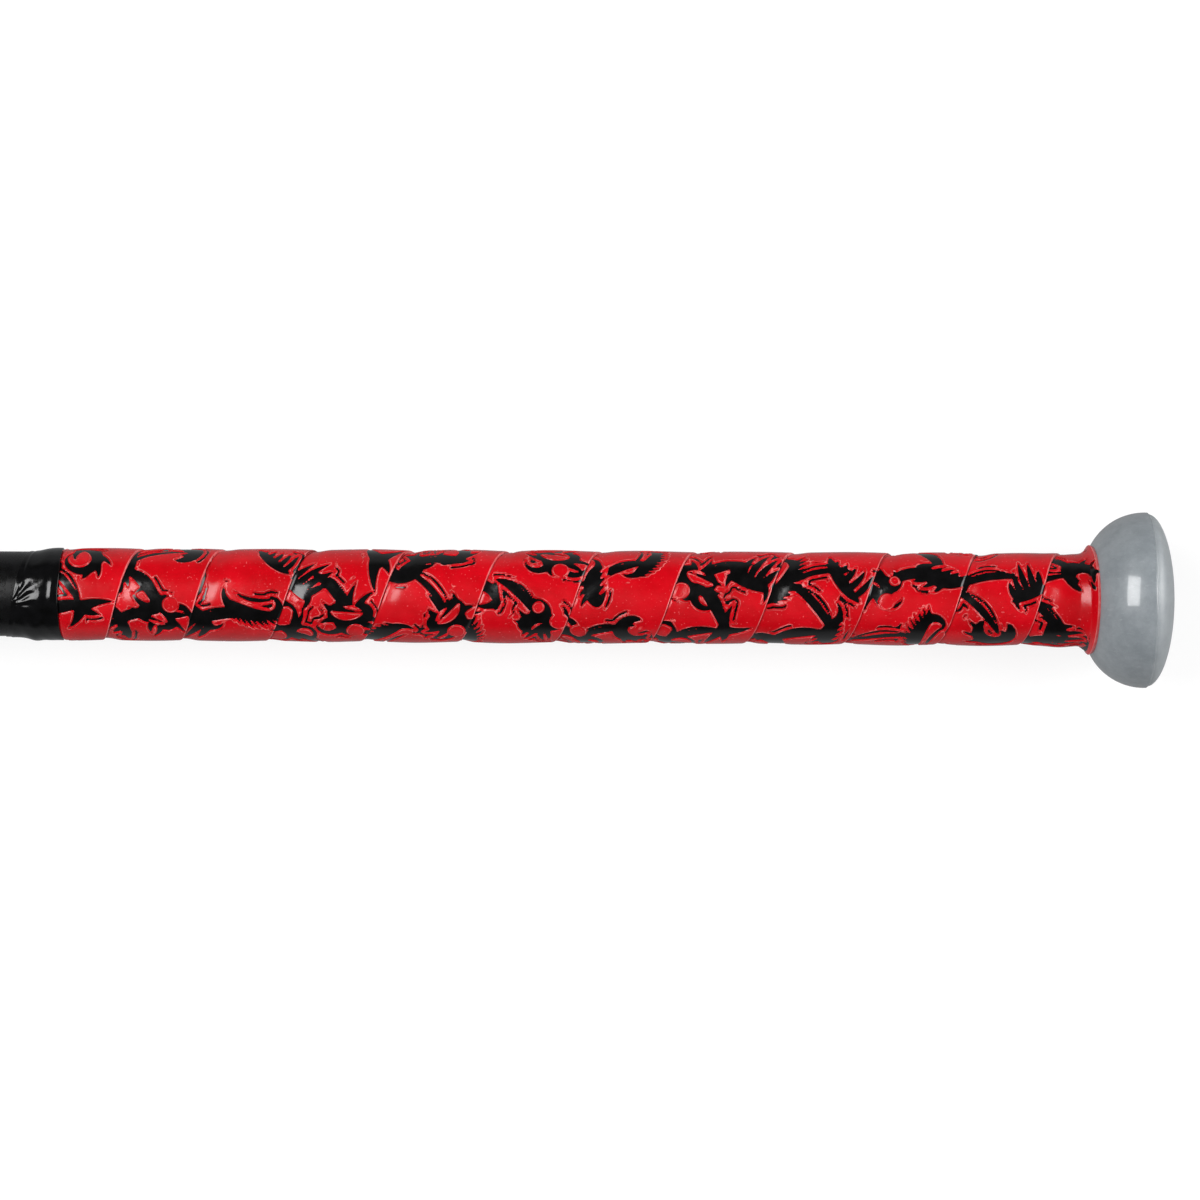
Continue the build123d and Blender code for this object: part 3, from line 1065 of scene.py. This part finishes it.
for end, half_turn, seed in (("right", False, 12), ("left", True, 15)):
    make_ground("grip_" + end + "_ground", half_turn)
    make_relief("grip_" + end + "_relief", seed, half_turn)
    make_tape("finishing_tape_" + end, half_turn)
    make_knob("knob_" + end, half_turn)
make_sleeve()

for name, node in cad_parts.items():
    for start, material in CAD_MATERIALS.items():
        if name.startswith(start):
            node.data.materials.clear()
            node.data.materials.append(material)


# --- Camera, floor and light ---

TOWARDS_CAMERA = Vector((0, -math.cos(FRONT_ANGLE), math.sin(FRONT_ANGLE)))
PICTURE_UP = Vector((0, math.sin(FRONT_ANGLE), math.cos(FRONT_ANGLE)))
PICTURE_RIGHT = Vector((1, 0, 0))
CAMERA_X = 188.87 * MM
CAMERA_DISTANCE = 952.4 * MM
CAMERA_DROP = 0.69 * MM
CAMERA_ROLL = math.radians(0.33)


def placed(right, up, back, place):
    """A matrix that looks against its own back axis from a place."""
    matrix = Matrix((right, up, back)).transposed().to_4x4()
    matrix.translation = place
    return matrix


def make_camera():
    """The view of one end of the stick from above, level but for a slight roll."""
    data = bpy.data.cameras.new("camera")
    data.lens = 120
    data.sensor_width = 36
    data.clip_start = 0.05
    data.clip_end = 40
    camera = add_object("camera", data)
    right = PICTURE_RIGHT * math.cos(CAMERA_ROLL) + PICTURE_UP * math.sin(CAMERA_ROLL)
    up = PICTURE_UP * math.cos(CAMERA_ROLL) - PICTURE_RIGHT * math.sin(CAMERA_ROLL)
    place = PICTURE_RIGHT * CAMERA_X - PICTURE_UP * CAMERA_DROP
    place = place + TOWARDS_CAMERA * CAMERA_DISTANCE
    camera.matrix_world = placed(right, up, TOWARDS_CAMERA, place)
    bpy.context.scene.camera = camera


def make_surround(name, points, faces, material):
    """A part of the studio, which isn't part of the stick."""
    mesh = bpy.data.meshes.new(name)
    mesh.from_pydata(points, [], faces)
    mesh.materials.append(material)
    made = add_object(name, mesh)
    return made


def make_floor():
    """A pale floor that glows a little, like a light table, and a pale wall far round it."""
    glow = {"Emission_Color": (1, 1, 1, 1), "Roughness": 0.9}
    table = {"Base_Color": (0.15, 0.15, 0.15, 1), "Emission_Strength": 0.82}
    far_wall = {"Base_Color": (0, 0, 0, 1), "Emission_Strength": 0.90}
    white = Shader("floor_white", **table, **glow).material
    pale = Shader("backdrop_white", **far_wall, **glow).material
    sides, radius, height = 96, 15.0, 12.0
    angles = [k * FULL_TURN / sides for k in range(sides)]
    foot = [(radius * math.cos(a), radius * math.sin(a), FLOOR_Z) for a in angles]
    head = [(x, y, height) for x, y, _ in foot]
    floor = make_surround("floor", foot, [tuple(range(sides))], white)
    floor.visible_glossy = False
    wall = make_surround("backdrop", foot + head, grid_faces(2, sides), pale)
    wall.visible_diffuse = False
    wall.visible_glossy = False
    wall.visible_shadow = False


def add_softbox(name, aim, left, up, distance, width, height, brightness):
    """An area light that stands at these angles left of the camera and above it."""
    data = bpy.data.lights.new(name, "AREA")
    data.shape = "RECTANGLE"
    data.size = width
    data.size_y = height
    data.energy = brightness * math.pi * width * height
    level = TOWARDS_CAMERA * math.cos(left) - PICTURE_RIGHT * math.sin(left)
    back = (level * math.cos(up) + PICTURE_UP * math.sin(up)).normalized()
    side = PICTURE_UP.cross(back).normalized()
    light = add_object(name, data)
    light.matrix_world = placed(side, back.cross(side), back, aim + back * distance)
    light.visible_camera = False


def make_lights():
    """A softbox at each side of the camera, a panel off the knob's end and a soft ceiling."""
    knob_place = Vector((KNOB_LOW[0], 0, 0))
    up, distance = math.radians(11.5), 2.4
    for name, left, width, height, brightness in (
        ("left_box", 34.5, 1.02, 1.60, 11.5),
        ("right_box", -52, 1.24, 1.60, 7.0),
        ("end_panel", -76, 1.20, 2.00, 4.5),
    ):
        left = math.radians(left)
        add_softbox(name, knob_place, left, up, distance, width, height, brightness)
    data = bpy.data.lights.new("ceiling", "SUN")
    data.angle = math.radians(70)
    data.energy = 1.2
    ceiling = add_object("ceiling", data)
    ceiling.rotation_euler = (math.radians(20), math.radians(-15), 0)
    ceiling.visible_glossy = False


def make_room():
    """A dim room that is brighter below the stick than above it."""
    room = bpy.data.worlds.new("room")
    room.use_nodes = True
    nodes, links = room.node_tree.nodes, room.node_tree.links
    direction = nodes.new("ShaderNodeTexCoord").outputs["Generated"]
    parts = nodes.new("ShaderNodeSeparateXYZ")
    strength = nodes.new("ShaderNodeMapRange")
    limits = {"From Min": -0.15, "From Max": 0.10, "To Min": 0.34, "To Max": 0.05}
    for name, value in limits.items():
        strength.inputs[name].default_value = value
    links.new(direction, parts.inputs["Vector"])
    links.new(parts.outputs["Z"], strength.inputs["Value"])
    links.new(strength.outputs["Result"], nodes["Background"].inputs["Strength"])
    nodes["Background"].inputs["Color"].default_value = (0.96, 0.98, 1, 1)
    bpy.context.scene.world = room


make_camera()
make_floor()
make_lights()
make_room()
bpy.context.scene.view_settings.view_transform = "Standard"
